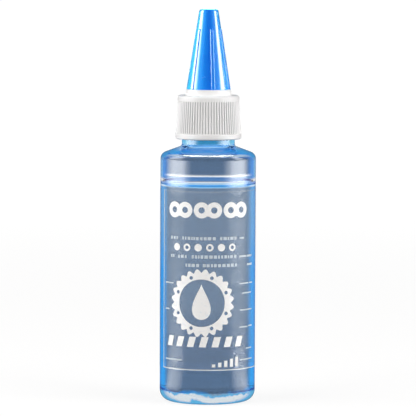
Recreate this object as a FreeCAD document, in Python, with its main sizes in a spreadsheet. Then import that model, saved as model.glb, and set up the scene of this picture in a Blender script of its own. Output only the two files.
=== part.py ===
import FreeCAD, Part
import math
import os
import Sketcher

# Chain lube bottle: a clear blown bottle of oil with a film label, a screw-on nozzle cap
# with a sealing washer, and a pull-off overcap. Millimetres.
# The origin is the centre of the base ring, +Z runs up the axis and the front faces -Y.

SIZES = {
    # Blown bottle
    "bottle_diameter": 33.5,
    "body_wall": 0.7,
    "base_wall": 1.0,
    "base_corner": 3.9,
    "stand_ring_width": 1.35,
    "pushup_height": 2.4,
    "shoulder_height": 87.1,
    "shoulder_rise": 2.8,
    "shoulder_corner": 2.5,
    "neck_diameter": 18.6,
    "neck_fillet": 1.0,
    "neck_band_height": 3.6,
    "neck_ledge": 0.45,
    "neck_height": 15.3,
    "neck_wall": 1.75,
    # Room that the screw thread takes up between the neck and the cap
    "thread_room": 0.9,
    # Oil
    "fill_headspace": 10.6,
    "fill_clearance": 0.05,
    "meniscus_rise": 1.2,
    "meniscus_width": 1.6,
    # Film label
    "label_foot": 12.4,
    "label_top_gap": 12.2,
    "label_film": 0.08,
    "label_glue": 0.02,
    "label_wrap_angle": 340.0,
    "label_start_angle": 65.6,
    # Sealing washer
    "washer_thickness": 1.0,
    "washer_clearance": 0.35,
    "washer_margin": 1.3,
    # Nozzle cap
    "cap_panel": 1.4,
    "cap_wall": 0.8,
    "cap_flare": 0.64,
    "cap_foot_gap": 2.4,
    "cap_foot_height": 2.0,
    "cap_foot_proud": 0.13,
    "cap_foot_round": 0.6,
    "cap_band_height": 1.8,
    "cap_edge": 0.8,
    "grip_rib_count": 72,
    "grip_rib_depth": 0.28,
    "grip_rib_root": 0.72,
    "grip_rib_crest": 0.3,
    "grip_rib_sink": 0.2,
    "collar_height": 2.1,
    "collar_ledge": 0.18,
    "collar_draft": 0.17,
    "spigot_diameter": 13.1,
    "spigot_height": 3.3,
    "spigot_ledge": 1.15,
    "nozzle_height": 20.5,
    "nozzle_tip_diameter": 3.4,
    "nozzle_wall": 1.2,
    "nozzle_edge": 0.4,
    "tip_bore_diameter": 1.4,
    "tip_bore_length": 2.5,
    # Overcap
    "overcap_clearance": 0.05,
    "overcap_wall": 1.12,
    "overcap_mouth_gap": 0.2,
    "overcap_air": 0.7,
    "overcap_tip_gap": 2.7,
    "overcap_roof": 1.5,
    "overcap_top_diameter": 6.6,
    "overcap_edge": 0.85,
    "overcap_rib_count": 6,
    "overcap_rib_height": 0.28,
    "overcap_rib_foot_width": 1.3,
    "overcap_rib_top_width": 1.14,
    "overcap_rib_draft": 0.12,
    "overcap_rib_sink": 0.3,
    "overcap_rib_top_gap": 6.8,
    "overcap_rib_angle": 12.5,
    "seal_clearance": 0.1,
    "seal_reach": 1.6,
}

FULL_TURN = 360.0
FRONT_BEARING = 270.0
MATCH = 1e-4

doc = FreeCAD.newDocument("chain_lube_bottle")
sheet = doc.addObject("Spreadsheet::Sheet", "dims")
for row, (alias, value) in enumerate(SIZES.items(), start=1):
    sheet.set(f"A{row}", alias)
    sheet.set(f"B{row}", str(value))
    sheet.setAlias(f"B{row}", alias)
doc.recompute()


class Size:
    """A length that carries its number and the sheet formula behind it."""

    def __init__(self, number, formula):
        self.number = number
        self.formula = formula

    def __add__(self, other):
        other = as_size(other)
        return Size(self.number + other.number, f"({self.formula} + {other.formula})")

    def __sub__(self, other):
        other = as_size(other)
        return Size(self.number - other.number, f"({self.formula} - {other.formula})")

    def __mul__(self, other):
        other = as_size(other)
        return Size(self.number * other.number, f"({self.formula} * {other.formula})")

    def __truediv__(self, other):
        other = as_size(other)
        return Size(self.number / other.number, f"({self.formula} / {other.formula})")


def as_size(value):
    """Return a plain number as a Size, and a Size as it is."""
    if isinstance(value, Size):
        return value
    return Size(value, str(value))


def dim(alias):
    """Return the sheet's value of that name."""
    return Size(float(sheet.get(alias)), f"dims.{alias}")


def half(alias):
    """Return half of the sheet's value of that name."""
    return dim(alias) / 2


def on_line(start, end, height):
    """Return the radius at a height on the straight line between two (radius, height) points."""
    share = (height - start[1]) / (end[1] - start[1])
    return start[0] + (end[0] - start[0]) * share


# Shared stations along the axis and shared radii

ZERO = Size(0.0, "0")

BODY_RADIUS = half("bottle_diameter")
BORE_RADIUS = BODY_RADIUS - dim("body_wall")
RING_RADIUS = BODY_RADIUS - dim("base_corner") - dim("stand_ring_width")
NECK_RADIUS = half("neck_diameter")
FINISH_RADIUS = NECK_RADIUS - dim("neck_ledge")
NECK_BORE = FINISH_RADIUS - dim("neck_wall")

SHOULDER_FOOT = dim("shoulder_height")
NECK_FOOT = SHOULDER_FOOT + dim("shoulder_rise")
BAND_TOP = NECK_FOOT + dim("neck_band_height")
LIP = NECK_FOOT + dim("neck_height")
FILL_LEVEL = SHOULDER_FOOT - dim("fill_headspace")

CAP_BORE = FINISH_RADIUS + dim("thread_room")
GRIP_TOP = CAP_BORE + dim("cap_wall")
GRIP_FOOT = GRIP_TOP + dim("cap_flare")
BAND_RADIUS = GRIP_TOP + dim("grip_rib_depth")
FOOT_RADIUS = GRIP_FOOT + dim("grip_rib_depth") + dim("cap_foot_proud")
SPIGOT_RADIUS = half("spigot_diameter")
NOZZLE_BASE = SPIGOT_RADIUS - dim("spigot_ledge")
NOZZLE_TIP = half("nozzle_tip_diameter")
CHANNEL_RADIUS = NOZZLE_BASE - dim("nozzle_wall")
TIP_BORE = half("tip_bore_diameter")
OVERCAP_MOUTH = SPIGOT_RADIUS + dim("overcap_clearance")
OVERCAP_FOOT = OVERCAP_MOUTH + dim("overcap_wall")
OVERCAP_TOP = half("overcap_top_diameter")
COLLAR_TOP = OVERCAP_FOOT + dim("collar_ledge")

CAP_FOOT = NECK_FOOT + dim("cap_foot_gap")
CAP_ROOF = LIP + dim("washer_thickness")
CAP_TOP = CAP_ROOF + dim("cap_panel")
GRIP_LOW = CAP_FOOT + dim("cap_foot_height")
GRIP_HIGH = CAP_TOP - dim("cap_band_height")
SEAT = CAP_TOP + dim("collar_height")
SPIGOT_END = SEAT + dim("spigot_height")
TIP = SPIGOT_END + dim("nozzle_height")
OVERCAP_ROOF = TIP + dim("overcap_tip_gap")
OVERCAP_END = OVERCAP_ROOF + dim("overcap_roof")


def new_body(label):
    """Start a named sub-part."""
    body = doc.addObject("PartDesign::Body", label)
    body.Label = label
    return body


def origin_feature(body, role):
    """Return one of the body's own origin planes or axes."""
    return next(part for part in body.Origin.OriginFeatures if part.Role == role)


def new_sketch(body, name, role):
    """Start a sketch on one of the body's origin planes."""
    sketch = body.newObject("Sketcher::SketchObject", name)
    sketch.AttachmentSupport = [(origin_feature(body, role), "")]
    sketch.MapMode = "FlatFace"
    return sketch


def fix(sketch, kind, piece, size):
    """Hold the start of one line at a distance from the sketch's origin, by a formula."""
    if size.number == 0:
        axis = -2 if kind == "DistanceX" else -1
        sketch.addConstraint(Sketcher.Constraint("PointOnObject", piece, 1, axis))
        return
    index = sketch.addConstraint(Sketcher.Constraint(kind, -1, 1, piece, 1, size.number))
    sketch.setExpression(f"Constraints[{index}]", size.formula)


def dome_arc(start, end):
    """Return the arc from a point at the side to a point on the axis, centred on the axis."""
    rise = end[1].number - start[1].number
    radius = (start[0].number ** 2 + rise ** 2) / (2 * rise)
    centre = FreeCAD.Vector(0, end[1].number - radius, 0)
    circle = Part.Circle(centre, FreeCAD.Vector(0, 0, 1), radius)
    return Part.ArcOfCircle(circle, math.atan2(radius - rise, start[0].number), math.pi / 2)


def draw_profile(body, name, points, domed=False):
    """Draw a closed half section in the XZ plane, its first side a dome on the axis if asked.

    Each point is a radius and a height, both held by formulas.
    """
    sketch = new_sketch(body, name, "XZ_Plane")
    count = len(points)
    for i, start in enumerate(points):
        end = points[(i + 1) % count]
        if domed and i == 0:
            sketch.addGeometry(dome_arc(start, end), False)
            continue
        tail = FreeCAD.Vector(start[0].number, start[1].number, 0)
        head = FreeCAD.Vector(end[0].number, end[1].number, 0)
        sketch.addGeometry(Part.LineSegment(tail, head), False)
    for i in range(count):
        sketch.addConstraint(Sketcher.Constraint("Coincident", i, 2, (i + 1) % count, 1))
    if domed:
        sketch.addConstraint(Sketcher.Constraint("PointOnObject", 0, 3, -2))
    for i, (radius, height) in enumerate(points):
        fix(sketch, "DistanceX", i, radius)
        fix(sketch, "DistanceY", i, height)
    return sketch


def revolve(body, name, sketch, angle=None):
    """Turn a half section about the axis, all the way round or by the angle given."""
    turned = body.newObject("PartDesign::Revolution", name)
    turned.Profile = sketch
    turned.ReferenceAxis = (sketch, ["V_Axis"])
    turned.Angle = FULL_TURN
    if angle:
        turned.setExpression("Angle", angle.formula)
    doc.recompute()
    return turned


def hollow(body, name, sketch):
    """Cut a turned hollow out of the body and make sure that it took material away."""
    before = body.Shape.Volume
    groove = body.newObject("PartDesign::Groove", name)
    groove.Profile = sketch
    groove.ReferenceAxis = (sketch, ["V_Axis"])
    groove.Angle = FULL_TURN
    doc.recompute()
    if groove.Shape.Volume >= before:
        raise RuntimeError(f"{name} cuts nothing")
    return groove


def round_ring(body, name, base, ring, radius):
    """Round the circular edge at the given (radius, height) place."""
    ring_radius, ring_height = ring
    found = [
        f"Edge{number}"
        for number, edge in enumerate(base.Shape.Edges, start=1)
        if not edge.Degenerated
        and edge.Curve.TypeId == "Part::GeomCircle"
        and abs(edge.Curve.Radius - ring_radius.number) < MATCH
        and abs(edge.Curve.Center.z - ring_height.number) < MATCH
    ]
    if not found:
        raise RuntimeError(f"{name} finds no edge at radius {ring_radius.number}")
    fillet = body.newObject("PartDesign::Fillet", name)
    fillet.Base = (base, found)
    fillet.setExpression("Radius", radius.formula)
    doc.recompute()
    return fillet


def rib_section(body, name, height, root, crest, root_width, crest_width):
    """Draw a trapezoid rib section on a level plane, on the +X side and symmetric about X."""
    sketch = new_sketch(body, name, "XY_Plane")
    sketch.setExpression("AttachmentOffset.Base.z", height.formula)
    corners = [
        (root, root_width, -1),
        (crest, crest_width, -1),
        (crest, crest_width, 1),
        (root, root_width, 1),
    ]
    places = [FreeCAD.Vector(r.number, side * w.number / 2, 0) for r, w, side in corners]
    for i in range(4):
        sketch.addGeometry(Part.LineSegment(places[i], places[(i + 1) % 4]), False)
    for i in range(4):
        sketch.addConstraint(Sketcher.Constraint("Coincident", i, 2, (i + 1) % 4, 1))
    for low, high, width in ((1, 2, crest_width), (0, 3, root_width)):
        fix(sketch, "DistanceX", high, corners[high][0])
        fix(sketch, "DistanceY", high, width / 2)
        sketch.addConstraint(Sketcher.Constraint("Symmetric", low, 1, high, 1, -1))
    return sketch


def ring_of_ribs(body, name, sections, count):
    """Loft one rib between two level sections and repeat it round the axis."""
    low_section, high_section = sections
    rib = body.newObject("PartDesign::AdditiveLoft", f"{name}_one")
    rib.Profile = low_section
    rib.Sections = [high_section]
    rib.Ruled = True
    doc.recompute()
    ring = body.newObject("PartDesign::PolarPattern", name)
    ring.Originals = [rib]
    ring.Axis = (origin_feature(body, "Z_Axis"), [""])
    ring.Angle = FULL_TURN
    ring.setExpression("Occurrences", count.formula)
    body.Tip = ring
    doc.recompute()
    return ring


def turn_about_axis(body, bearing):
    """Turn a finished sub-part about the axis, to an angle counted from +X."""
    body.Placement = FreeCAD.Placement(
        FreeCAD.Vector(0, 0, 0), FreeCAD.Rotation(FreeCAD.Vector(0, 0, 1), bearing.number)
    )
    body.setExpression("Placement.Rotation.Angle", bearing.formula)


def cavity_points(gap):
    """Return the inside of the bottle up to the body's top, a gap clear of the wall."""
    floor = dim("base_wall") + gap
    return [
        (RING_RADIUS, floor),
        (ZERO, floor + dim("pushup_height")),
    ], (BORE_RADIUS - gap, floor)


def build_bottle():
    """Blown bottle: domed base, straight body, sloping shoulder and open neck."""
    body = new_body("bottle")
    outside = draw_profile(body, "bottle_outside", [
        (RING_RADIUS, ZERO),
        (ZERO, dim("pushup_height")),
        (ZERO, LIP),
        (FINISH_RADIUS, LIP),
        (FINISH_RADIUS, BAND_TOP + dim("neck_ledge")),
        (NECK_RADIUS, BAND_TOP),
        (NECK_RADIUS, NECK_FOOT),
        (BODY_RADIUS, SHOULDER_FOOT),
        (BODY_RADIUS, ZERO),
    ], domed=True)
    revolve(body, "bottle_solid", outside)

    wall = dim("body_wall")
    dome, corner = cavity_points(ZERO)
    inner_shoulder = (BORE_RADIUS, SHOULDER_FOOT - wall)
    inner_neck = (NECK_BORE, NECK_FOOT - wall)
    inside = draw_profile(body, "bottle_inside", dome + [
        (ZERO, LIP),
        (NECK_BORE, LIP),
        inner_neck,
        inner_shoulder,
        corner,
    ], domed=True)
    solid = hollow(body, "bottle_cavity", inside)

    # Each outer corner and its inner corner are rounded about the same centre.
    for name, ring, radius in (
            ("base_inner_round", corner, dim("base_corner") - wall),
            ("base_round", (BODY_RADIUS, ZERO), dim("base_corner")),
            ("shoulder_inner_round", inner_shoulder, dim("shoulder_corner") - wall),
            ("shoulder_round", (BODY_RADIUS, SHOULDER_FOOT), dim("shoulder_corner")),
            ("neck_inner_round", inner_neck, dim("neck_fillet") + wall),
            ("neck_round", (NECK_RADIUS, NECK_FOOT), dim("neck_fillet")),
    ):
        solid = round_ring(body, name, solid, ring, radius)
    return body


def build_lube_fill():
    """Oil: fills the body to its level, with a raised rim where it wets the wall."""
    body = new_body("lube_fill")
    gap = dim("fill_clearance")
    dome, corner = cavity_points(gap)
    edge = BORE_RADIUS - gap
    flat = edge - dim("meniscus_width")
    section = draw_profile(body, "fill_section", dome + [
        (ZERO, FILL_LEVEL),
        (flat, FILL_LEVEL),
        (edge, FILL_LEVEL + dim("meniscus_rise")),
        corner,
    ], domed=True)
    solid = revolve(body, "fill_solid", section)
    inner_corner = dim("base_corner") - dim("body_wall") - gap
    round_ring(body, "fill_round", solid, corner, inner_corner)
    return body


def build_clear_label():
    """Clear film label: a thin sleeve with a gap between its two ends, at the left of the front."""
    body = new_body("clear_label")
    inner = BODY_RADIUS + dim("label_glue")
    outer = inner + dim("label_film")
    low = dim("label_foot")
    high = SHOULDER_FOOT - dim("label_top_gap")
    corners = [(inner, low), (outer, low), (outer, high), (inner, high)]
    section = draw_profile(body, "label_section", corners)
    revolve(body, "label_film_wrap", section, dim("label_wrap_angle"))
    turn_about_axis(body, as_size(FRONT_BEARING) - dim("label_start_angle"))
    return body


def build_sealing_washer():
    """Sealing washer: a flat ring gripped between the neck's lip and the cap's roof."""
    body = new_body("sealing_washer")
    inner = CHANNEL_RADIUS + dim("washer_margin")
    outer = CAP_BORE - dim("washer_clearance")
    corners = [(inner, LIP), (outer, LIP), (outer, CAP_ROOF), (inner, CAP_ROOF)]
    section = draw_profile(body, "washer_section", corners)
    revolve(body, "washer_ring", section)
    return body


def build_nozzle_cap():
    """Nozzle cap: ribbed skirt, collar, spigot and a nozzle cone with its channel."""
    body = new_body("nozzle_cap")
    section = draw_profile(body, "cap_section", [
        (CAP_BORE, CAP_FOOT),
        (FOOT_RADIUS, CAP_FOOT),
        (FOOT_RADIUS, GRIP_LOW),
        (GRIP_FOOT, GRIP_LOW),
        (GRIP_TOP, GRIP_HIGH),
        (BAND_RADIUS, GRIP_HIGH),
        (BAND_RADIUS, CAP_TOP),
        (COLLAR_TOP + dim("collar_draft"), CAP_TOP),
        (COLLAR_TOP, SEAT),
        (SPIGOT_RADIUS, SEAT),
        (SPIGOT_RADIUS, SPIGOT_END),
        (NOZZLE_BASE, SPIGOT_END),
        (NOZZLE_TIP, TIP),
        (TIP_BORE, TIP),
        (TIP_BORE, TIP - dim("tip_bore_length")),
        (CHANNEL_RADIUS, SPIGOT_END),
        (CHANNEL_RADIUS, CAP_ROOF),
        (CAP_BORE, CAP_ROOF),
    ])
    solid = revolve(body, "cap_solid", section)
    for name, ring, radius in (
            ("cap_foot_rounding", (FOOT_RADIUS, CAP_FOOT), dim("cap_foot_round")),
            ("cap_top_rounding", (BAND_RADIUS, CAP_TOP), dim("cap_edge")),
            ("tip_rounding", (NOZZLE_TIP, TIP), dim("nozzle_edge")),
    ):
        solid = round_ring(body, name, solid, ring, radius)

    root_width = dim("grip_rib_root")
    crest_width = dim("grip_rib_crest")
    sections = []
    for end, height, valley in (("low", GRIP_LOW, GRIP_FOOT), ("high", GRIP_HIGH, GRIP_TOP)):
        root = valley - dim("grip_rib_sink")
        crest = valley + dim("grip_rib_depth")
        name = f"grip_rib_{end}"
        sections.append(rib_section(body, name, height, root, crest, root_width, crest_width))
    ring_of_ribs(body, "grip_ribs", sections, dim("grip_rib_count"))
    return body


def build_overcap():
    """Overcap: a hollow cone with ribs outside, a mouth for the spigot and a pin for the tip."""
    body = new_body("overcap")
    mouth_end = SPIGOT_END + dim("overcap_mouth_gap")
    air = dim("overcap_air")
    lower = (NOZZLE_BASE + air, SPIGOT_END)
    upper = (NOZZLE_TIP + air, TIP)
    pin = TIP_BORE - dim("seal_clearance")
    pin_end = TIP - dim("seal_reach")
    foot = (OVERCAP_FOOT, SEAT)
    top = (OVERCAP_TOP, OVERCAP_END)
    section = draw_profile(body, "overcap_section", [
        (OVERCAP_MOUTH, SEAT),
        foot,
        top,
        (ZERO, OVERCAP_END),
        (ZERO, pin_end),
        (pin, pin_end),
        (pin, OVERCAP_ROOF),
        (on_line(lower, upper, OVERCAP_ROOF), OVERCAP_ROOF),
        (on_line(lower, upper, mouth_end), mouth_end),
        (OVERCAP_MOUTH, mouth_end),
    ])
    solid = revolve(body, "overcap_solid", section)
    round_ring(body, "overcap_top_rounding", solid, top, dim("overcap_edge"))

    rib_top = OVERCAP_END - dim("overcap_rib_top_gap")
    sections = []
    for end, height in (("foot", SEAT), ("top", rib_top)):
        face = on_line(foot, top, height)
        root = face - dim("overcap_rib_sink")
        crest = face + dim("overcap_rib_height")
        root_width = dim(f"overcap_rib_{end}_width")
        crest_width = root_width - dim("overcap_rib_draft") * 2
        name = f"overcap_rib_{end}"
        sections.append(rib_section(body, name, height, root, crest, root_width, crest_width))
    ring_of_ribs(body, "overcap_ribs", sections, dim("overcap_rib_count"))
    turn_about_axis(body, as_size(FRONT_BEARING) + dim("overcap_rib_angle"))
    return body


subparts = [
    build_bottle(),
    build_lube_fill(),
    build_clear_label(),
    build_sealing_washer(),
    build_nozzle_cap(),
    build_overcap(),
]
doc.recompute()

for item in doc.Objects:
    if "Invalid" in item.State or "Error" in item.State:
        raise RuntimeError(f"{item.Name} failed: {item.State}")
for subpart in subparts:
    shape = subpart.Shape
    if shape.isNull() or not shape.isValid() or len(shape.Solids) != 1:
        raise RuntimeError(f"{subpart.Label} isn't one sound solid")

os.makedirs("parts", exist_ok=True)
for subpart in subparts:
    subpart.Shape.exportStep(f"parts/{subpart.Label}.step")
    print(f"{subpart.Label}: {subpart.Shape.Volume:.1f} mm3")
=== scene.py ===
"""Chain lube bottle: a clear blue bottle of oil with a film label, a ribbed nozzle cap and a glossy overcap.

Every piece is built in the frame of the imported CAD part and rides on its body. Sizes are in
millimetres, like the part's own, and become metres as a mesh is made.
"""

import logging
import math
import random
from dataclasses import dataclass
from enum import Enum
from typing import Callable, Optional, Sequence

import bmesh
import bpy
import numpy as np
from mathutils import Matrix, Vector


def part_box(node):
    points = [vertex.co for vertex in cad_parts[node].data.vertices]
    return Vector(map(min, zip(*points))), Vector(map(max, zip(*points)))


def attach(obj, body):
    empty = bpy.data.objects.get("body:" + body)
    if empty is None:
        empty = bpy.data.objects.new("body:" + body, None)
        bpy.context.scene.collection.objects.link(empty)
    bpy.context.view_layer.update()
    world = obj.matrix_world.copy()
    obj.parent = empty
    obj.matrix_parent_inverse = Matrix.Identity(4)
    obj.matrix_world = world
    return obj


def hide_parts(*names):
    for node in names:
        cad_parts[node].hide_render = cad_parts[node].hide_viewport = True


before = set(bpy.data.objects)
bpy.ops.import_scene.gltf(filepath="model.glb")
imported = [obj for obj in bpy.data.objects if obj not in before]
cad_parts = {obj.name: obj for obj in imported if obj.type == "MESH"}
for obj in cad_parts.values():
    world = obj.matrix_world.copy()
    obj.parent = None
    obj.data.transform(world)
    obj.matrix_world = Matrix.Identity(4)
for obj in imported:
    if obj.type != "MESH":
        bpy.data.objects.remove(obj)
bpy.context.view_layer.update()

MM = 0.001
TAU = 2.0 * math.pi
FRONT_ANGLE = math.radians(270.0)
BACK_ANGLE = math.radians(90.0)
BOTTLE_PIECE = "bottle_shell"
OVERCAP_PIECE = "overcap_cone"

log = logging.getLogger("chain_lube_bottle")

Colour = tuple[float, float, float]
Point = tuple[float, float]
Outline = list[Point]
Bar = tuple[Point, float]
Row = tuple[float, Point]
Face = tuple[int, ...]
Bands = Sequence[tuple[float, float, Colour]]
Relief = Callable[[np.ndarray, np.ndarray, np.ndarray], np.ndarray]
Piece = bpy.types.Object
Material = bpy.types.Material
Node = bpy.types.Node
Socket = bpy.types.NodeSocket
Sockets = bpy.types.bpy_prop_collection


class Body(Enum):
    """The CAD bodies that pieces ride on."""

    BOTTLE = "bottle_body"
    CAP = "cap_body"
    OVERCAP = "overcap_body"


class Slot(Enum):
    """The record's material slots, one passed with each new piece and not used."""

    BOTTLE = "clear_bottle"
    OIL = "lube_oil"
    LABEL = "label_film"
    CAP = "cap_white"
    OVERCAP = "overcap_blue"


# Outlines and meshes


@dataclass(frozen=True)
class Corner:
    """One corner of a half outline: its radius, its height and how far it is rounded."""

    r: float
    z: float
    fillet: float = 0.0


def on_circle(centre: Sequence[float], radius: float, angle: float) -> Point:
    """Return the point of a circle at an angle."""
    return centre[0] + radius * math.cos(angle), centre[1] + radius * math.sin(angle)


def rounded_outline(corners: Sequence[Corner], closed: bool, step: float = 8.0) -> Outline:
    """Join corners to an outline whose rounded corners are arcs.

    Args:
        corners: The corners in order.
        closed: Whether the last corner joins the first.
        step: The largest turn between two points of an arc, in degrees.

    Returns:
        The outline's points.
    """
    points: Outline = []
    count = len(corners)
    for i, corner in enumerate(corners):
        here = Vector((corner.r, corner.z))
        is_end = not closed and i in (0, count - 1)
        if corner.fillet <= 0.0 or is_end:
            points.append((corner.r, corner.z))
            continue
        last, following = corners[i - 1], corners[(i + 1) % count]
        back = (Vector((last.r, last.z)) - here).normalized()
        ahead = (Vector((following.r, following.z)) - here).normalized()
        half = back.angle(ahead) / 2.0
        reach = corner.fillet / math.tan(half)
        centre = here + (back + ahead).normalized() * (corner.fillet / math.sin(half))
        first = here + back * reach - centre
        final = here + ahead * reach - centre
        start = math.atan2(first.y, first.x)
        sweep = (math.atan2(final.y, final.x) - start + math.pi) % TAU - math.pi
        steps = max(2, math.ceil(abs(math.degrees(sweep)) / step))
        for k in range(steps + 1):
            points.append(on_circle(centre, corner.fillet, start + sweep * k / steps))
    return points


def dome(rim_radius: float, rim_height: float, crown: float, steps: int = 14) -> Outline:
    """Return the arc of a shallow dome from its crown on the axis to its rim.

    Args:
        rim_radius: The radius of the rim.
        rim_height: The height of the rim.
        crown: The height of the crown.
        steps: The number of pieces in the arc.

    Returns:
        The arc's points, crown first.
    """
    rise = crown - rim_height
    radius = (rim_radius ** 2 + rise ** 2) / (2.0 * rise)
    reach = math.asin(rim_radius / radius)
    angles = [reach * k / steps for k in range(steps + 1)]
    return [(radius * math.sin(a), crown - radius + radius * math.cos(a)) for a in angles]


def grid_faces(rows: int, columns: int, close_rows: bool = False, close_columns: bool = True) -> list[Face]:
    """Return the four-sided faces between the points of a grid.

    Args:
        rows: The number of rows of points.
        columns: The number of points in a row.
        close_rows: Whether the last row joins the first.
        close_columns: Whether the last point of a row joins its first.

    Returns:
        The faces, as point numbers.
    """
    faces = []
    for i in range(rows if close_rows else rows - 1):
        low, high = i * columns, (i + 1) % rows * columns
        for j in range(columns if close_columns else columns - 1):
            k = (j + 1) % columns
            faces.append((low + j, low + k, high + k, high + j))
    return faces


def add_object(name: str, data: bpy.types.ID) -> Piece:
    """Put a new object into the scene.

    Args:
        name: The object's name.
        data: Its mesh, curve, light or camera.

    Returns:
        The object.
    """
    obj = bpy.data.objects.new(name, data)
    bpy.context.scene.collection.objects.link(obj)
    return obj


def finish_mesh(name: str, verts: np.ndarray, faces: Sequence[Face], crease: float) -> Piece:
    """Make a clean smooth-shaded object from points in millimetres.

    Args:
        name: The piece's name.
        verts: The points.
        faces: The faces, as point numbers.
        crease: Edges that bend by more than this many degrees stay sharp.

    Returns:
        The new object.
    """
    mesh = bpy.data.meshes.new(name)
    mesh.from_pydata((verts * MM).tolist(), [], [list(face) for face in faces])
    work = bmesh.new()
    work.from_mesh(mesh)
    bmesh.ops.remove_doubles(work, verts=work.verts, dist=1e-8)
    bmesh.ops.recalc_face_normals(work, faces=work.faces)
    work.to_mesh(mesh)
    work.free()
    mesh.shade_smooth()
    mesh.set_sharp_from_angle(angle=math.radians(crease))
    return add_object(name, mesh)


def lathe(
    name: str,
    outline: Outline,
    segments: int,
    closed: bool,
    relief: Optional[Relief] = None,
    crease: float = 50.0,
) -> Piece:
    """Turn a half outline about the axis.

    Args:
        name: The piece's name.
        outline: The outline's points; an open one starts and ends on the axis.
        segments: The number of steps round the axis.
        closed: Whether the outline's last point joins its first.
        relief: Height to add to the radius, from the angle, radius and height of each point.
        crease: Edges that bend by more than this many degrees stay sharp.

    Returns:
        The new object.
    """
    rings = np.array(outline)
    turn = np.linspace(0.0, TAU, segments, endpoint=False)[None, :]
    radius = np.repeat(rings[:, :1], segments, axis=1)
    height = np.repeat(rings[:, 1:], segments, axis=1)
    if relief is not None:
        radius = radius + relief(turn, radius, height)
    verts = np.stack([radius * np.cos(turn), radius * np.sin(turn), height], axis=-1).reshape(-1, 3)
    return finish_mesh(name, verts, grid_faces(len(outline), segments, close_rows=closed), crease)


def mark_points(piece: Piece, name: str, marks: Sequence[float]) -> None:
    """Store one named number for each point of a piece, for its material to read."""
    mark = piece.data.attributes.new(name, "FLOAT", "POINT")
    mark.data.foreach_set("value", marks)


def dress(obj: Piece, body: Body, slot: Slot, materials: Sequence[Material], *replaced: str) -> Piece:
    """Give a piece its finish and its body.

    Args:
        obj: The piece.
        body: The CAD body it rides on.
        slot: Not used.
        materials: Its materials.
        replaced: The CAD nodes that it stands for.

    Returns:
        The same piece.
    """
    obj.data.materials.clear()
    for material in materials:
        obj.data.materials.append(material)
    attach(obj, body.value)
    if replaced:
        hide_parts(*replaced)
    log.info("%s: %d faces on %s", obj.name, len(obj.data.polygons), body.value)
    return obj


# Node helpers and shared effects


class NodeTree:
    """A short way to add nodes to one tree and join them."""

    def __init__(self, tree: bpy.types.NodeTree) -> None:
        """Keep the tree that nodes go into."""
        self.tree = tree

    def feed(self, target: Socket, value: object) -> None:
        """Give an input its value.

        Args:
            target: The input.
            value: A socket to link, a colour or a number.
        """
        if isinstance(value, bpy.types.NodeSocket):
            self.tree.links.new(value, target)
        else:
            target.default_value = (*value, 1.0) if isinstance(value, tuple) else value

    def add(self, kind: str, inputs: Optional[dict] = None, **settings: object) -> Node:
        """Add a node.

        Args:
            kind: The node's type.
            inputs: What feeds its inputs, by their name or number.
            settings: Properties to set on the node.

        Returns:
            The new node.
        """
        node = self.tree.nodes.new(kind)
        for name, value in settings.items():
            setattr(node, name, value)
        for key, value in (inputs or {}).items():
            self.feed(node.inputs[key], value)
        return node

    def place(self) -> Socket:
        """Return the place on the object, in metres."""
        return self.add("ShaderNodeTexCoord").outputs["Object"]

    def split(self, vector: Socket) -> Sockets:
        """Return the parts of a vector, by the names X, Y and Z."""
        return self.add("ShaderNodeSeparateXYZ", {"Vector": vector}).outputs

    def math(self, operation: str, first: object, second: object = 0.0) -> Socket:
        """Return what an operation makes of two sockets or numbers."""
        return self.add("ShaderNodeMath", {0: first, 1: second}, operation=operation).outputs[0]

    def noise(self, place: Socket, scale: object, detail: float, distortion: float = 0.0) -> Socket:
        """Return a soft noise of about 0 to 1: where it is read, how fine, how many layers, how far bent."""
        inputs = {"Vector": place, "Scale": scale, "Detail": detail, "Distortion": distortion}
        return self.add("ShaderNodeTexNoise", inputs).outputs["Fac"]

    def spread(self, value: Socket, span: Point, first: float = 0.0, final: float = 1.0) -> Socket:
        """Map a value from one range to another, held at both ends.

        Args:
            value: The socket to map.
            span: The start and the end of its range.
            first: What the start becomes.
            final: What the end becomes.

        Returns:
            The mapped value.
        """
        low, high = span
        inputs = {"Value": value, "From Min": low, "From Max": high, "To Min": first, "To Max": final}
        return self.add("ShaderNodeMapRange", inputs, interpolation_type="SMOOTHSTEP").outputs["Result"]

    def blend(self, factor: Socket, first: object, second: object, kind: str = "RGBA") -> Socket:
        """Return a mix of two colours, or of two numbers, by the share of the second."""
        inputs = {"Factor": factor, "A": first, "B": second}
        return self.add("ShaderNodeMix", inputs, data_type=kind).outputs["Result"]

    def group(self, tree: bpy.types.NodeTree, **values: float) -> Sockets:
        """Place a shared effect and set its inputs, spaces in their names written as underscores."""
        inputs = {name.replace("_", " "): value for name, value in values.items()}
        return self.add("ShaderNodeGroup", inputs, node_tree=tree).outputs


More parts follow.
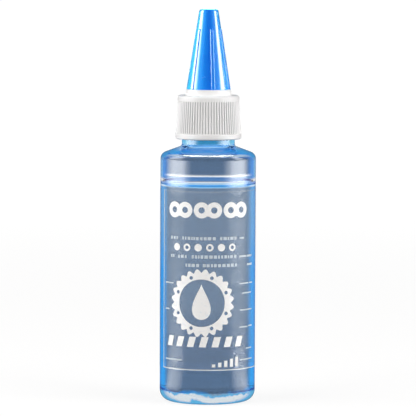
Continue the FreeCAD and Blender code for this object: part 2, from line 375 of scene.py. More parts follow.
class SharedEffects:
    """Surface effects that several finishes use, each built once as a node group."""

    mottle_span: Point = (0.3, 0.7)
    scuff_span: Point = (0.58, 0.72)
    scuff_bend: float = 1.2

    def __init__(self) -> None:
        """Build the groups."""
        self.grain = self._mould_grain()
        self.flow = self._flow_lines()
        self.scuffs = self._scuffs()

    def _start(
        self, name: str, inputs: dict[str, float], outputs: Sequence[str]
    ) -> tuple[NodeTree, Sockets, Sockets]:
        """Start a node group.

        Args:
            name: The group's name.
            inputs: Its inputs and their values.
            outputs: Its outputs.

        Returns:
            Its nodes, what comes into it and what it puts out.
        """
        tree = bpy.data.node_groups.new(name, "ShaderNodeTree")
        for label, value in inputs.items():
            socket = tree.interface.new_socket(label, in_out="INPUT", socket_type="NodeSocketFloat")
            socket.default_value = value
        for label in outputs:
            tree.interface.new_socket(label, in_out="OUTPUT", socket_type="NodeSocketFloat")
        nodes = NodeTree(tree)
        return nodes, nodes.add("NodeGroupInput").outputs, nodes.add("NodeGroupOutput").inputs

    def _mould_grain(self) -> bpy.types.NodeTree:
        """Build the fine grain and broad mottle that a moulded surface has.

        Returns:
            The node group.
        """
        scales = {"Fine Scale": 2500.0, "Broad Scale": 90.0}
        nodes, entry, result = self._start("mould_grain", scales, ("Height", "Mottle"))
        place = nodes.place()
        nodes.feed(result["Height"], nodes.noise(place, entry["Fine Scale"], 3.0))
        broad = nodes.noise(place, entry["Broad Scale"], 4.0)
        nodes.feed(result["Mottle"], nodes.spread(broad, self.mottle_span))
        return nodes.tree

    def _flow_lines(self) -> bpy.types.NodeTree:
        """Build the soft upright lines that blowing or filling a mould leaves in a wall.

        Returns:
            The node group.
        """
        nodes, entry, result = self._start("flow_lines", {"Scale": 300.0, "Stretch": 0.02}, ("Height",))
        apart = nodes.split(nodes.place())
        drawn = {"X": apart["X"], "Y": apart["Y"], "Z": nodes.math("MULTIPLY", apart["Z"], entry["Stretch"])}
        place = nodes.add("ShaderNodeCombineXYZ", drawn).outputs["Vector"]
        nodes.feed(result["Height"], nodes.noise(place, entry["Scale"], 1.5))
        return nodes.tree

    def _scuffs(self) -> bpy.types.NodeTree:
        """Build sparse short scuffs from handling.

        Returns:
            The node group.
        """
        nodes, entry, result = self._start("scuffs", {"Scale": 220.0, "Amount": 0.3}, ("Mask",))
        patches = nodes.noise(nodes.place(), entry["Scale"], 5.0, self.scuff_bend)
        sparse = nodes.spread(patches, self.scuff_span)
        nodes.feed(result["Mask"], nodes.math("MULTIPLY", sparse, entry["Amount"]))
        return nodes.tree


class Brush(NodeTree):
    """The nodes of one material: its shader, its output and the shared effects at hand."""

    def __init__(self, name: str, effects: SharedEffects) -> None:
        """Make an empty material.

        Args:
            name: The material's name.
            effects: The shared effects.
        """
        self.material = bpy.data.materials.new(name)
        self.material.use_nodes = True
        super().__init__(self.material.node_tree)
        self.tree.nodes.clear()
        self.effects = effects
        self.shader = self.add("ShaderNodeBsdfPrincipled")
        self.output = self.add("ShaderNodeOutputMaterial", {"Surface": self.shader.outputs["BSDF"]})

    def set(self, **inputs: object) -> None:
        """Feed the shader's inputs, spaces in their names written as underscores."""
        for name, value in inputs.items():
            self.feed(self.shader.inputs[name.replace("_", " ")], value)

    def grain(self, fine: float, broad: float) -> Sockets:
        """Place the mould grain at a fine and a broad scale."""
        return self.group(self.effects.grain, Fine_Scale=fine, Broad_Scale=broad)

    def flow(self, scale: float, stretch: float, depth: float) -> None:
        """Raise flow lines of a scale, a stretch and a depth in metres."""
        lines = self.group(self.effects.flow, Scale=scale, Stretch=stretch)
        self.emboss(lines["Height"], depth)

    def scuffed(self, roughness: float, scale: float, amount: float) -> None:
        """Set a roughness and the scuffs that add to it."""
        scuffs = self.group(self.effects.scuffs, Scale=scale, Amount=amount)
        self.set(Roughness=self.math("ADD", scuffs["Mask"], roughness))

    def emboss(self, height: Socket, depth: float) -> None:
        """Raise the surface by a height map whose full height is a depth in metres."""
        bump = self.add("ShaderNodeBump", {"Strength": 1.0, "Distance": depth, "Height": height})
        self.set(Normal=bump.outputs["Normal"])


# Finishes


@dataclass(frozen=True)
class Finish:
    """What every finish shares: a named material with one Principled shader."""

    name: str

    def material(self, effects: SharedEffects) -> Material:
        """Make the material.

        Args:
            effects: The shared effects.

        Returns:
            The material.
        """
        brush = Brush(self.name, effects)
        self.paint(brush)
        return brush.material

    def paint(self, brush: Brush) -> None:
        """Feed the material's shader through its brush."""
        raise NotImplementedError


@dataclass(frozen=True)
class WallPart:
    """One part of the bottle's wall: its name, its side, the turn that brings its edge tint, its index."""

    name: str
    outside: bool
    turn: Point
    ior: float
    tinted: bool = True


class Wall(Enum):
    """The parts of the wall: oil behind it and the shoulder's slope change how it mirrors and bends."""

    DRY_OUTSIDE = WallPart("outside", True, (0.36, 0.66), 1.5)
    WET_OUTSIDE = WallPart("outside_wet", True, (0.36, 0.66), 1.22)
    SLOPE_OUTSIDE = WallPart("shoulder", True, (0.36, 0.66), 1.2)
    DRY_INSIDE = WallPart("inside", False, (0.15, 0.25), 1.5)
    WET_INSIDE = WallPart("inside_wet", False, (0.125, 0.165), 1.5)
    SLOPE_INSIDE = WallPart("inside_shoulder", False, (0.4, 0.6), 1.2)
    BASE_OUTSIDE = WallPart("base", True, (0.36, 0.66), 1.22, tinted=False)
    BASE_INSIDE = WallPart("inside_base", False, (0.125, 0.165), 1.22, tinted=False)


@dataclass(frozen=True)
class ClearBottleFinish(Finish):
    """Clear blue plastic: smoky looking straight in, brighter blue where the wall turns away, partly for the
    longer path through the tinted wall and partly as painted light from the side lamps.
    """

    part: WallPart
    smoky: Colour = (0.165, 0.235, 0.34)
    deep: Colour = (0.10, 0.165, 0.275)
    vivid: Colour = (0.03, 0.40, 0.95)
    light: Colour = (0.15, 0.45, 0.85)
    muted: Colour = (0.06, 0.3, 0.85)
    bright: Colour = (0.18, 0.5, 1.0)
    highlight_blue: Colour = (0.5, 0.75, 1.0)
    haze: Colour = (0.24, 0.41, 0.62)
    rim: Colour = (0.03, 0.37, 0.92)
    royal: Colour = (0.004, 0.19, 0.9)
    neck: Colour = (0.035, 0.255, 0.485)
    pale: Colour = (1.0, 1.0, 1.0)
    clear: Colour = (0.97, 0.99, 1.0)
    patch_scale: float = 150.0
    patch_detail: float = 3.0
    patch_size: float = 4.0
    patch_fade: Point = (5.0, 9.0)
    swirl_size: float = 0.8
    swirl_fade: Point = (87.4, 88.2)
    tint_top: float = 100.0
    line_depth: float = 4.0e-6

    def face_bands(self) -> Bands:
        """Return the tints looking straight in, as rising bands from the base to the neck.

        Returns:
            The lower edge, upper edge and colour of each band.
        """
        return (
            (0.6, 0.6, self.rim),
            (1.0, 3.4, self.pale),
            (3.9, 3.9, self.rim),
            (5.2, 22.0, self.deep),
            (34.0, 75.7, self.smoky),
            # From 76.0 to 80.3 the bands draw the oil line; the pale and light blue ones are painted
            # highlights.
            (76.0, 76.0, self.deep),
            (76.25, 76.25, self.highlight_blue),
            (76.6, 77.0, self.vivid),
            (77.3, 77.7, self.highlight_blue),
            (77.9, 78.3, self.pale),
            (78.5, 79.8, self.haze),
            (80.0, 80.3, self.pale),
            (80.6, 86.4, self.deep),
            # From 87.2 to 89.9 the light blue and white bands are painted highlights round the shoulder's
            # corner and the neck foot; the shift in tint_level makes them wave.
            (87.2, 87.9, self.highlight_blue),
            (88.2, 88.2, self.vivid),
            (88.7, 88.7, self.bright),
            (88.9, 89.25, self.pale),
            (89.45, 89.9, self.bright),
            (91.0, 91.0, self.neck),
        )

    def edge_bands(self) -> Bands:
        """Return the tints where the wall turns away, as rising bands.

        Returns:
            The lower edge, upper edge and colour of each band.
        """
        return (
            (4.2, 4.2, self.rim),
            (5.0, 46.0, self.vivid),
            (62.0, 75.8, self.light),
            # Painted highlight: the oil line turns white towards the sides.
            (76.3, 78.4, self.pale),
            (79.0, 85.6, self.muted),
            (86.3, 88.9, self.royal),
            (89.8, 89.8, self.bright),
            (91.0, 91.0, self.rim),
        )

    def tint_level(self, brush: Brush) -> Socket:
        """Return the height as a share of the tints' range, uneven near the base and on the shoulder.

        Args:
            brush: The material's nodes.

        Returns:
            The share.
        """
        place = brush.place()
        height = brush.split(place)["Z"]
        patches = brush.noise(place, self.patch_scale, self.patch_detail)
        fade, rise = ((low * MM, high * MM) for low, high in (self.patch_fade, self.swirl_fade))
        reach = brush.spread(height, fade, 2.0 * self.patch_size * MM, 0.0)
        swirl = brush.spread(height, rise, 0.0, 2.0 * self.swirl_size * MM)
        uneven = brush.math("SUBTRACT", patches, 0.5)
        shift = brush.math("MULTIPLY", uneven, brush.math("ADD", reach, swirl))
        return brush.math("MULTIPLY", brush.math("ADD", height, shift), 1.0 / (self.tint_top * MM))

    def banded(self, brush: Brush, level: Socket, bands: Bands) -> Socket:
        """Return the colour of a stack of bands at a level.

        Args:
            brush: The material's nodes.
            level: The height as a share of the tints' range.
            bands: The lower edge, upper edge and colour of each band.

        Returns:
            The colour.
        """
        ramp = brush.add("ShaderNodeValToRGB", {"Fac": level})
        stops = [(edge, colour) for low, high, colour in bands for edge in sorted({low, high})]
        while len(ramp.color_ramp.elements) < len(stops):
            ramp.color_ramp.elements.new(1.0)
        for stop, (height, colour) in zip(ramp.color_ramp.elements, stops):
            stop.position = height / self.tint_top
            stop.color = (*colour, 1.0)
        return ramp.outputs["Color"]

    def wall_tint(self, brush: Brush) -> Socket:
        """Return the tint of the wall that light enters by; the far wall lets it out clear.

        Args:
            brush: The material's nodes.

        Returns:
            The tint.
        """
        facing = brush.add("ShaderNodeLayerWeight", {"Blend": 0.5}).outputs["Facing"]
        turned = brush.spread(facing, self.part.turn)
        level = self.tint_level(brush)
        face = self.banded(brush, level, self.face_bands())
        edge = self.banded(brush, level, self.edge_bands())
        # Towards the turned-away sides the tint goes brighter blue: partly the longer path through the wall,
        # partly painted light from the side lamps.
        tint = brush.blend(turned, face, edge)
        backfacing = brush.add("ShaderNodeNewGeometry").outputs["Backfacing"]
        front, back = (tint, self.clear) if self.part.outside else (self.clear, tint)
        return brush.blend(backfacing, front, back)

    def paint(self, brush: Brush) -> None:
        """Paint one part of the wall.

        Args:
            brush: The material's nodes.
        """
        tint = self.wall_tint(brush) if self.part.tinted else self.clear
        brush.set(Base_Color=tint, Transmission_Weight=1.0, IOR=self.part.ior)
        brush.scuffed(roughness=0.012, scale=160.0, amount=0.02)
        brush.flow(scale=420.0, stretch=0.01, depth=self.line_depth)


@dataclass(frozen=True)
class OilFinish(Finish):
    """Thin clear oil with a trace of blue."""

    name: str = "lube_oil_clear"
    ior: float = 1.46
    tint: Colour = (0.95, 0.975, 1.0)
    pale_tint: Colour = (0.97, 0.995, 1.0)
    depth_colour: Colour = (0.55, 0.74, 0.92)
    density: float = 6.0

    def paint(self, brush: Brush) -> None:
        """Paint the oil.

        Args:
            brush: The material's nodes.
        """
        grain = brush.grain(fine=600.0, broad=45.0)
        tint = brush.blend(grain["Mottle"], self.tint, self.pale_tint)
        brush.set(Base_Color=tint, Transmission_Weight=1.0, IOR=self.ior, Roughness=0.0)
        inputs = {"Color": self.depth_colour, "Density": self.density}
        depth = brush.add("ShaderNodeVolumeAbsorption", inputs)
        brush.feed(brush.output.inputs["Volume"], depth.outputs["Volume"])


@dataclass(frozen=True)
class FilmFinish(Finish):
    """Clear label film with a painted highlight along its cut edges: a nearly opaque pale band there."""

    name: str = "label_film_clear"
    colour: Colour = (0.92, 0.95, 1.0)
    pale_colour: Colour = (0.96, 0.99, 1.0)
    clear_alpha: float = 0.03
    edge_highlight_alpha: float = 0.9
    roughness: float = 0.2
    depth: float = 2.0e-6

    def paint(self, brush: Brush) -> None:
        """Paint the film.

        Args:
            brush: The material's nodes.
        """
        grain = brush.grain(fine=1500.0, broad=70.0)
        # Painted highlight: the marked edges turn nearly opaque and pale, where the cut edges would catch
        # the light.
        edge = brush.add("ShaderNodeAttribute", attribute_name="cut_edge").outputs["Fac"]
        alpha = brush.spread(edge, (0.0, 1.0), self.clear_alpha, self.edge_highlight_alpha)
        colour = brush.blend(grain["Mottle"], self.colour, self.pale_colour)
        brush.set(Base_Color=colour, Alpha=alpha, Roughness=self.roughness)
        brush.emboss(grain["Height"], self.depth)


@dataclass(frozen=True)
class InkFinish(Finish):
    """Screen-printed white ink with a faint speckle."""

    name: str = "label_ink_white"
    colour: Colour = (0.97, 0.97, 0.97)
    thin_colour: Colour = (0.84, 0.88, 0.93)
    thin_span: Point = (0.75, 1.0)
    thin_share: float = 0.7
    cover: float = 1.0
    roughness: float = 0.55
    depth: float = 4.0e-6

    def paint(self, brush: Brush) -> None:
        """Paint the ink.

        Args:
            brush: The material's nodes.
        """
        grain = brush.grain(fine=3500.0, broad=900.0)
        thin = brush.spread(grain["Mottle"], self.thin_span, 0.0, self.thin_share)
        colour = brush.blend(thin, self.colour, self.thin_colour)
        brush.set(Base_Color=colour, Alpha=self.cover, Roughness=self.roughness)
        brush.emboss(grain["Height"], self.depth)


@dataclass(frozen=True)
class CapFinish(Finish):
    """Milky white moulded plastic with a satin grain, and painted shade in the grooves between the grip
    ribs.
    """

    name: str = "cap_white_satin"
    colour: Colour = (0.84, 0.84, 0.85)
    deep_colour: Colour = (0.81, 0.81, 0.815)
    # The grey that the painted shade in the grooves goes to.
    painted_groove_shade: Colour = (0.34, 0.34, 0.355)
    depth: float = 6.0e-6

    def paint(self, brush: Brush) -> None:
        """Paint the cap.

        Args:
            brush: The material's nodes.
        """
        grain = brush.grain(fine=2600.0, broad=140.0)
        plain = brush.blend(grain["Mottle"], self.colour, self.deep_colour)
        # Painted shade: the colour darkens towards the bottom of each groove between the grip ribs.
        groove = brush.add("ShaderNodeAttribute", attribute_name="groove").outputs["Fac"]
        brush.set(Base_Color=brush.blend(groove, plain, self.painted_groove_shade))
        brush.scuffed(roughness=0.45, scale=300.0, amount=0.18)
        brush.emboss(grain["Height"], self.depth)


@dataclass(frozen=True)
class OvercapFinish(Finish):
    """Glossy blue moulded plastic with a lighter glow along its turned-away sides."""

    name: str = "overcap_blue_gloss"
    colour: Colour = (0.002, 0.165, 0.85)
    light_colour: Colour = (0.003, 0.185, 0.88)
    glow: Colour = (0.2, 0.8, 1.0)
    glow_roughness: float = 0.4
    specular: float = 0.9
    coat_ior: float = 1.7
    coat_roughness: float = 0.1
    line_depth: float = 3.0e-6

    def paint(self, brush: Brush) -> None:
        """Paint the overcap.

        Args:
            brush: The material's nodes.
        """
        grain = brush.grain(fine=1800.0, broad=110.0)
        brush.set(
            Base_Color=brush.blend(grain["Mottle"], self.colour, self.light_colour),
            Sheen_Weight=1.0,
            Sheen_Roughness=self.glow_roughness,
            Sheen_Tint=self.glow,
            Specular_IOR_Level=self.specular,
            Coat_Weight=1.0,
            Coat_IOR=self.coat_ior,
            Coat_Roughness=self.coat_roughness,
        )
        brush.scuffed(roughness=0.16, scale=240.0, amount=0.12)
        brush.flow(scale=500.0, stretch=0.02, depth=self.line_depth)


@dataclass(frozen=True)
class WasherFinish(Finish):
    """Soft closed-cell foam."""

    name: str = "washer_foam_soft"
    colour: Colour = (0.82, 0.82, 0.80)
    cell_colour: Colour = (0.70, 0.70, 0.68)
    roughness: float = 0.85
    cell_depth: float = 4.0e-5

    def paint(self, brush: Brush) -> None:
        """Paint the washer.

        Args:
            brush: The material's nodes.
        """
        cells = brush.grain(fine=4000.0, broad=1500.0)["Mottle"]
        brush.set(Base_Color=brush.blend(cells, self.colour, self.cell_colour), Roughness=self.roughness)
        brush.emboss(cells, self.cell_depth)


# What the sub-assemblies share


@dataclass
class Assembly:
    """What every sub-assembly shares: the effects that its finishes use."""

    effects: SharedEffects


@dataclass
class ScrewThread:
    """A helical ridge on the neck or in the cap."""

    name: str
    root: float
    crest: float
    start: float
    pitch: float = 3.0
    turns: float = 1.5
    root_width: float = 1.6
    crest_width: float = 0.7
    fade: float = 0.06
    end_size: float = 0.05
    steps: int = 180
    crease: float = 30.0

    def build(self) -> Piece:
        """Wind the ridge, tapered at both ends.

        Returns:
            The new object.
        """
        section = [
            (self.root, -self.root_width / 2.0),
            (self.crest, -self.crest_width / 2.0),
            (self.crest, self.crest_width / 2.0),
            (self.root, self.root_width / 2.0),
        ]
        verts = []
        for k in range(self.steps + 1):
            share = k / self.steps
            angle = TAU * self.turns * share
            height = self.start + self.pitch * self.turns * share
            swell = min(1.0, share / self.fade, (1.0 - share) / self.fade)
            swell = self.end_size + (1.0 - self.end_size) * swell
            for radius, offset in section:
                at = self.root + (radius - self.root) * swell
                verts.append((at * math.cos(angle), at * math.sin(angle), height + offset * swell))
        side = len(section)
        faces = [tuple(range(side)), tuple(range(len(verts) - side, len(verts)))]
        faces += grid_faces(self.steps + 1, side)
        return finish_mesh(self.name, np.array(verts), faces, self.crease)


# The bottle


@dataclass
class Bottle(Assembly):
    """The blown bottle with its neck thread and the oil in it."""

    body_radius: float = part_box("bottle")[1].x / MM
    lip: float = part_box("bottle")[1].z / MM
    oil_level: float = 76.5
    wall: float = 0.7
    base_wall: float = 1.0
    base_corner: float = 3.9
    stand_ring: float = 1.35
    stand_round: float = 0.4
    pushup: float = 2.4
    shoulder_foot: float = 87.1
    shoulder_rise: float = 2.8
    shoulder_corner: float = 2.5
    neck_radius: float = 9.3
    neck_fillet: float = 1.0
    neck_band: float = 3.6
    neck_ledge: float = 0.45
    ledge_round: float = 0.15
    neck_wall: float = 1.75
    lip_round: float = 0.35
    meniscus_rise: float = 1.2
    meniscus_width: float = 1.6
    meniscus_power: float = 2.6
    meniscus_steps: int = 12
    rim_start: float = 0.002
    rim_slope: float = 0.05
    oil_overlap: float = 0.06
    thread_root: float = 8.75
    thread_crest: float = 9.55
    thread_start: float = 99.0
    segments: int = 192
    base_seam: float = 0.4
    slope_start_inside: float = -0.3
    slope_start_outside: float = 0.35
    level_slope: float = 0.3
    inside_slope: float = 0.05
    oil: OilFinish = OilFinish()
    oil_rim: OilFinish = OilFinish("lube_oil_rim", ior=1.08)

    @property
    def bore(self) -> float:
        """Return the radius inside the body."""
        return self.body_radius - self.wall

    @property
    def ring(self) -> float:
        """Return the inner radius of the ring that the bottle stands on."""
        return self.body_radius - self.base_corner - self.stand_ring

    @property
    def finish_radius(self) -> float:
        """Return the neck's radius under its thread."""
        return self.neck_radius - self.neck_ledge

    @property
    def neck_foot(self) -> float:
        """Return the height at which the neck starts."""
        return self.shoulder_foot + self.shoulder_rise

    def outer(self) -> Outline:
        """Return the outside, from the base's crown to the lip.

        Returns:
            The open half outline.
        """
        band_top = self.neck_foot + self.neck_band
        corners = [
            Corner(self.ring, 0.0, self.stand_round),
            Corner(self.body_radius, 0.0, self.base_corner),
            Corner(self.body_radius, self.oil_level),
            Corner(self.body_radius, self.shoulder_foot, self.shoulder_corner),
            Corner(self.neck_radius, self.neck_foot, self.neck_fillet),
            Corner(self.neck_radius, band_top, self.ledge_round),
            Corner(self.finish_radius, band_top + self.neck_ledge, self.ledge_round),
            Corner(self.finish_radius, self.lip, self.lip_round),
            Corner(self.finish_radius - self.neck_wall / 2.0, self.lip),
        ]
        return dome(self.ring, 0.0, self.pushup)[:-1] + rounded_outline(corners, closed=False)

    def inner(self) -> Outline:
        """Return the inside, from the lip to the base's inner crown.

        Returns:
            The open half outline.
        """
        neck_bore = self.finish_radius - self.neck_wall
        corners = [
            Corner(self.finish_radius - self.neck_wall / 2.0, self.lip),
            Corner(neck_bore, self.lip, self.lip_round),
            Corner(neck_bore, self.neck_foot - self.wall, self.neck_fillet + self.wall),
            Corner(self.bore, self.shoulder_foot - self.wall, self.shoulder_corner - self.wall),
            Corner(self.bore, self.oil_level),
            Corner(self.bore, self.base_wall, self.base_corner - self.wall),
            Corner(self.ring, self.base_wall),
        ]
        floor = dome(self.ring, self.base_wall, self.base_wall + self.pushup)
        return rounded_outline(corners, closed=False)[:-1] + floor[::-1]

    def wall_part(self, face: bpy.types.MeshPolygon) -> Wall:
        """Return the part of the wall that a face of the shell belongs to.

        Args:
            face: The face.

        Returns:
            The part of the wall.
        """
        middle, normal = face.center, face.normal
        height = middle.z / MM
        outwards = (normal.x * middle.x + normal.y * middle.y) / max(middle.xy.length, 1e-9)
        is_level = height < 2.0 * self.base_corner and abs(normal.z) > self.level_slope
        inside = normal.z > self.level_slope if is_level else outwards < -self.inside_slope
        if inside and height < self.base_corner + self.base_seam:
            return Wall.BASE_INSIDE
        if is_level and middle.xy.length / MM < self.body_radius - self.base_corner:
            return Wall.BASE_OUTSIDE
        slope_foot = self.shoulder_foot + (self.slope_start_inside if inside else self.slope_start_outside)
        if height < self.oil_level:
            return Wall.WET_INSIDE if inside else Wall.WET_OUTSIDE
        if slope_foot < height < self.neck_foot + self.neck_fillet:
            return Wall.SLOPE_INSIDE if inside else Wall.SLOPE_OUTSIDE
        return Wall.DRY_INSIDE if inside else Wall.DRY_OUTSIDE

    def build_shell(self) -> Piece:
        """Build the bottle as one closed wall whose parts have their own finish.

        Returns:
            The new object.
        """
        shell = lathe(BOTTLE_PIECE, self.outer() + self.inner()[1:], self.segments, closed=False)
        walls = list(Wall)
        finishes = [ClearBottleFinish("clear_bottle_" + wall.value.name, wall.value) for wall in walls]
        materials = [finish.material(self.effects) for finish in finishes]
        dress(shell, Body.BOTTLE, Slot.BOTTLE, materials, "bottle")
        for face in shell.data.polygons:
            face.material_index = walls.index(self.wall_part(face))
        return shell

    def build_oil(self) -> None:
        """Build the oil, which wets the wall and climbs it a little."""
        lap = self.oil_overlap
        edge = self.bore + lap
        flat = self.bore - self.meniscus_width
        floor = self.base_wall - lap
        corners = [
            Corner(self.ring, floor),
            Corner(edge, floor, self.base_corner - self.wall + lap),
            Corner(edge, self.oil_level + self.meniscus_rise),
        ]
        outline = dome(self.ring, floor, floor + self.pushup)[:-1] + rounded_outline(corners, closed=False)
        for k in range(1, self.meniscus_steps + 1):
            share = 1.0 - k / self.meniscus_steps
            height = self.oil_level + self.meniscus_rise * share ** self.meniscus_power
            outline.append((flat + (edge - flat) * share, height))
        outline.append((flat / 2.0, self.oil_level))
        outline.append((0.0, self.oil_level))
        oil = lathe("oil_fill", outline, self.segments, closed=False)
        materials = [finish.material(self.effects) for finish in (self.oil, self.oil_rim)]
        dress(oil, Body.BOTTLE, Slot.OIL, materials, "lube_fill")
        for face in oil.data.polygons:
            raised = face.center.z > (self.oil_level + self.rim_start) * MM
            face.material_index = int(raised and face.normal.z > self.rim_slope)

    def build(self) -> None:
        """Build the shell, the oil and the ridge that the cap screws on to."""
        shell = self.build_shell()
        self.build_oil()
        thread = ScrewThread("neck_thread", self.thread_root, self.thread_crest, self.thread_start).build()
        dress(thread, Body.BOTTLE, Slot.BOTTLE, shell.data.materials[:1])


# The label


@dataclass(frozen=True)
class Motif:
    """One printed motif: its name and its closed outlines."""

    name: str
    loops: list[Outline]


def circle(across: float, up: float, radius: float, steps: int = 32) -> Outline:
    """Return a circle on the label."""
    return [on_circle((across, up), radius, TAU * k / steps) for k in range(steps)]


def box_bar(left: float, low: float, width: float, height: float, slant: float = 0.0) -> Outline:
    """Return a bar on the label, its top pushed to the right by the slant."""
    right, top = left + width, low + height
    return [(left, low), (right, low), (right + slant, top), (left + slant, top)]


def chain_plate(middle: Point, pitch: float, radius: float, waist: float, steps: int = 24) -> Outline:
    """Return the outline of one chain side plate: two round ends joined by a narrower waist.

    Args:
        middle: Its middle.
        pitch: The distance between its ends' middles.
        radius: The radius of its ends.
        waist: Half the width of its waist.
        steps: The number of pieces in each end's arc.

    Returns:
        The outline.
    """
    reach = math.acos(min(1.0, waist / radius))
    sweep = math.pi + 2.0 * reach
    points = []
    for side in (1.0, -1.0):
        start = -(math.pi / 2.0 + reach) if side > 0 else math.pi / 2.0 - reach
        end = (middle[0] + side * pitch / 2.0, middle[1])
        points += [on_circle(end, radius, start + sweep * k / steps) for k in range(steps + 1)]
    return points


def toothed_ring(
    middle: Point, root: float, tip: float, teeth: int, per_tooth: int = 12, power: float = 0.7
) -> Outline:
    """Return the outline of a chainring: rounded teeth between a root circle and a tip circle.

    Args:
        middle: Its middle.
        root: The radius between teeth.
        tip: The radius at their tips.
        teeth: The number of teeth.
        per_tooth: The number of points on a tooth.
        power: How full a tooth is; less is fuller.

    Returns:
        The outline.
    """
    points = []
    for k in range(teeth * per_tooth):
        phase = (k % per_tooth) / per_tooth
        lift = (0.5 - 0.5 * math.cos(TAU * phase)) ** power
        points.append(on_circle(middle, root + (tip - root) * lift, TAU * k / (teeth * per_tooth)))
    return points


def oil_drop(
    across: float, low: float, width: float, height: float, steps: int = 48, taper: float = 1.5
) -> Outline:
    """Return the outline of a falling drop.

    Args:
        across: How far right its middle is.
        low: The height of its lower end.
        width: How wide it is.
        height: How tall it is.
        steps: The number of points.
        taper: How slim its upper end is.

    Returns:
        The outline.
    """
    points = []
    for angle in (TAU * k / steps for k in range(steps)):
        reach = width / 2.0 * math.sin(angle) * math.sin(angle / 2.0) ** taper
        points.append((across + reach, low + height * (0.5 + 0.5 * math.cos(angle))))
    return points


@dataclass
class LabelPrint:
    """The print's layout: distances to the right of the label's middle, heights and sizes."""

    plate_height: float = 68.4
    plate_count: int = 3
    plate_pitch: float = 4.4
    plate_radius: float = 2.8
    plate_waist: float = 1.7
    plate_gap: float = 0.5
    plate_hole: float = 1.1
    bead_start: Point = (-11.6, 55.4)
    bead_count: int = 6
    bead_pitch: float = 4.1
    bead_radius: float = 1.3
    ring_middle: Point = (-2.2, 36.0)
    ring_root: float = 10.6
    ring_tip: float = 11.9
    ring_teeth: int = 24
    ring_bore: float = 8.3
    ring_holes: int = 8
    ring_hole_circle: float = 9.5
    hole_radius: float = 0.65
    hole_steps: int = 20
    bore_steps: int = 64
    drop_fall: float = 5.8
    drop_width: float = 9.4
    drop_height: float = 12.4
    slant_start: Point = (-16.2, 20.6)
    slant_count: int = 7
    slant_pitch: float = 4.4
    slant_bar: tuple[float, float, float] = (2.4, 3.6, 1.0)
    level_start: Point = (1.6, 13.6)
    level_count: int = 5
    level_pitch: float = 2.2
    level_width: float = 1.2
    level_low: float = 1.0
    level_step: float = 0.6
    row_gap: Point = (0.3, 0.5)
    row_overrun: float = 0.2
    row_skip: float = 0.12
    fine_rows: tuple[Row, ...] = ((58.0, (-14.5, 11.0)), (51.6, (-14.5, 11.0)), (48.6, (-8.0, 11.0)))
    fine_bar: Bar = ((0.5, 1.3), 1.1)
    side_row: Point = (12.0, 19.0)
    side_bar: Bar = ((2.0, 4.5), 0.7)
    side_lift: float = 0.1
    stroke_height: float = 0.45
    strokes: tuple[tuple[float, float, float], ...] = (
        (42.4, -17.6, 4.4),
        (42.3, 12.2, 4.6),
        (42.3, 17.4, 2.2),
        (38.9, 13.4, 5.4),
        (33.2, -17.6, 2.2),
        (33.0, 12.4, 7.0),
        (27.0, 12.2, 4.2),
        (27.2, 17.0, 2.4),
        (19.4, 15.6, 3.6),
        (15.6, -17.4, 8.0),
        (15.6, 12.6, 7.0),
    )
    back_rows: tuple[float, ...] = (56.0, 52.6, 49.0, 45.6, 39.8, 36.6, 30.2, 19.6, 17.2)
    back_columns: tuple[Point, Point] = ((-22.0, -11.5), (11.5, 22.0))
    back_bar: Bar = ((0.7, 1.8), 1.05)
    fine_seed: int = 11
    back_seed: int = 7

    def chain_strip(self) -> list[Outline]:
        """Return the chain plates and their pin holes.

        Returns:
            The outlines.
        """
        loops = []
        length = self.plate_pitch + 2.0 * self.plate_radius
        for k in range(self.plate_count):
            across, up = (k - 1) * (length + self.plate_gap), self.plate_height
            loops.append(chain_plate((across, up), self.plate_pitch, self.plate_radius, self.plate_waist))
            for side in (-1.0, 1.0):
                loops.append(circle(across + side * self.plate_pitch / 2.0, up, self.plate_hole))
        return loops

    def beads(self) -> list[Outline]:
        """Return a row of dots, every second one with a hole.

        Returns:
            The outlines.
        """
        start, up = self.bead_start
        places = [start + self.bead_pitch * k for k in range(self.bead_count)]
        loops = [circle(across, up, self.bead_radius) for across in places]
        return loops + [circle(across, up, self.hole_radius, self.hole_steps) for across in places[1::2]]

    def chainring(self) -> list[Outline]:
        """Return the chainring, its bore and its bolt holes.

        Returns:
            The outlines.
        """
        middle = self.ring_middle
        ring = toothed_ring(middle, self.ring_root, self.ring_tip, self.ring_teeth)
        loops = [ring, circle(*middle, self.ring_bore, self.bore_steps)]
        for k in range(self.ring_holes):
            hole = on_circle(middle, self.ring_hole_circle, TAU * (k + 0.5) / self.ring_holes)
            loops.append(circle(*hole, self.hole_radius, self.hole_steps))
        return loops

    def drop(self) -> list[Outline]:
        """Return the drop inside the chainring."""
        across, up = self.ring_middle
        return [oil_drop(across, up - self.drop_fall, self.drop_width, self.drop_height)]

    def slant_bars(self) -> list[Outline]:
        """Return the row of slanted bars."""
        left, low = self.slant_start
        return [box_bar(left + self.slant_pitch * k, low, *self.slant_bar) for k in range(self.slant_count)]

    def level_bars(self) -> list[Outline]:
        """Return the row of rising bars.

        Returns:
            The outlines.
        """
        left, low = self.level_start
        heights = [self.level_low + self.level_step * k for k in range(self.level_count)]
        return [
            box_bar(left + self.level_pitch * k, low, self.level_width, height)
            for k, height in enumerate(heights)
        ]

    def broken_row(self, draw: random.Random, span: Point, low: float, bar: Bar) -> list[Outline]:
        """Return a row of short bars of uneven widths.

        Args:
            draw: The source of the widths.
            span: Where the row starts and ends.
            low: The height of its lower edge.
            bar: The narrowest and the widest bar, and the bars' height.

        Returns:
            The bars' outlines.
        """
        bars = []
        across, end = span
        widths, height = bar
        while across < end:
            width = min(draw.uniform(*widths), end - across + self.row_overrun)
            if draw.random() > self.row_skip:
                bars.append(box_bar(across, low, width, height))
            across += width + draw.uniform(*self.row_gap)
        return bars

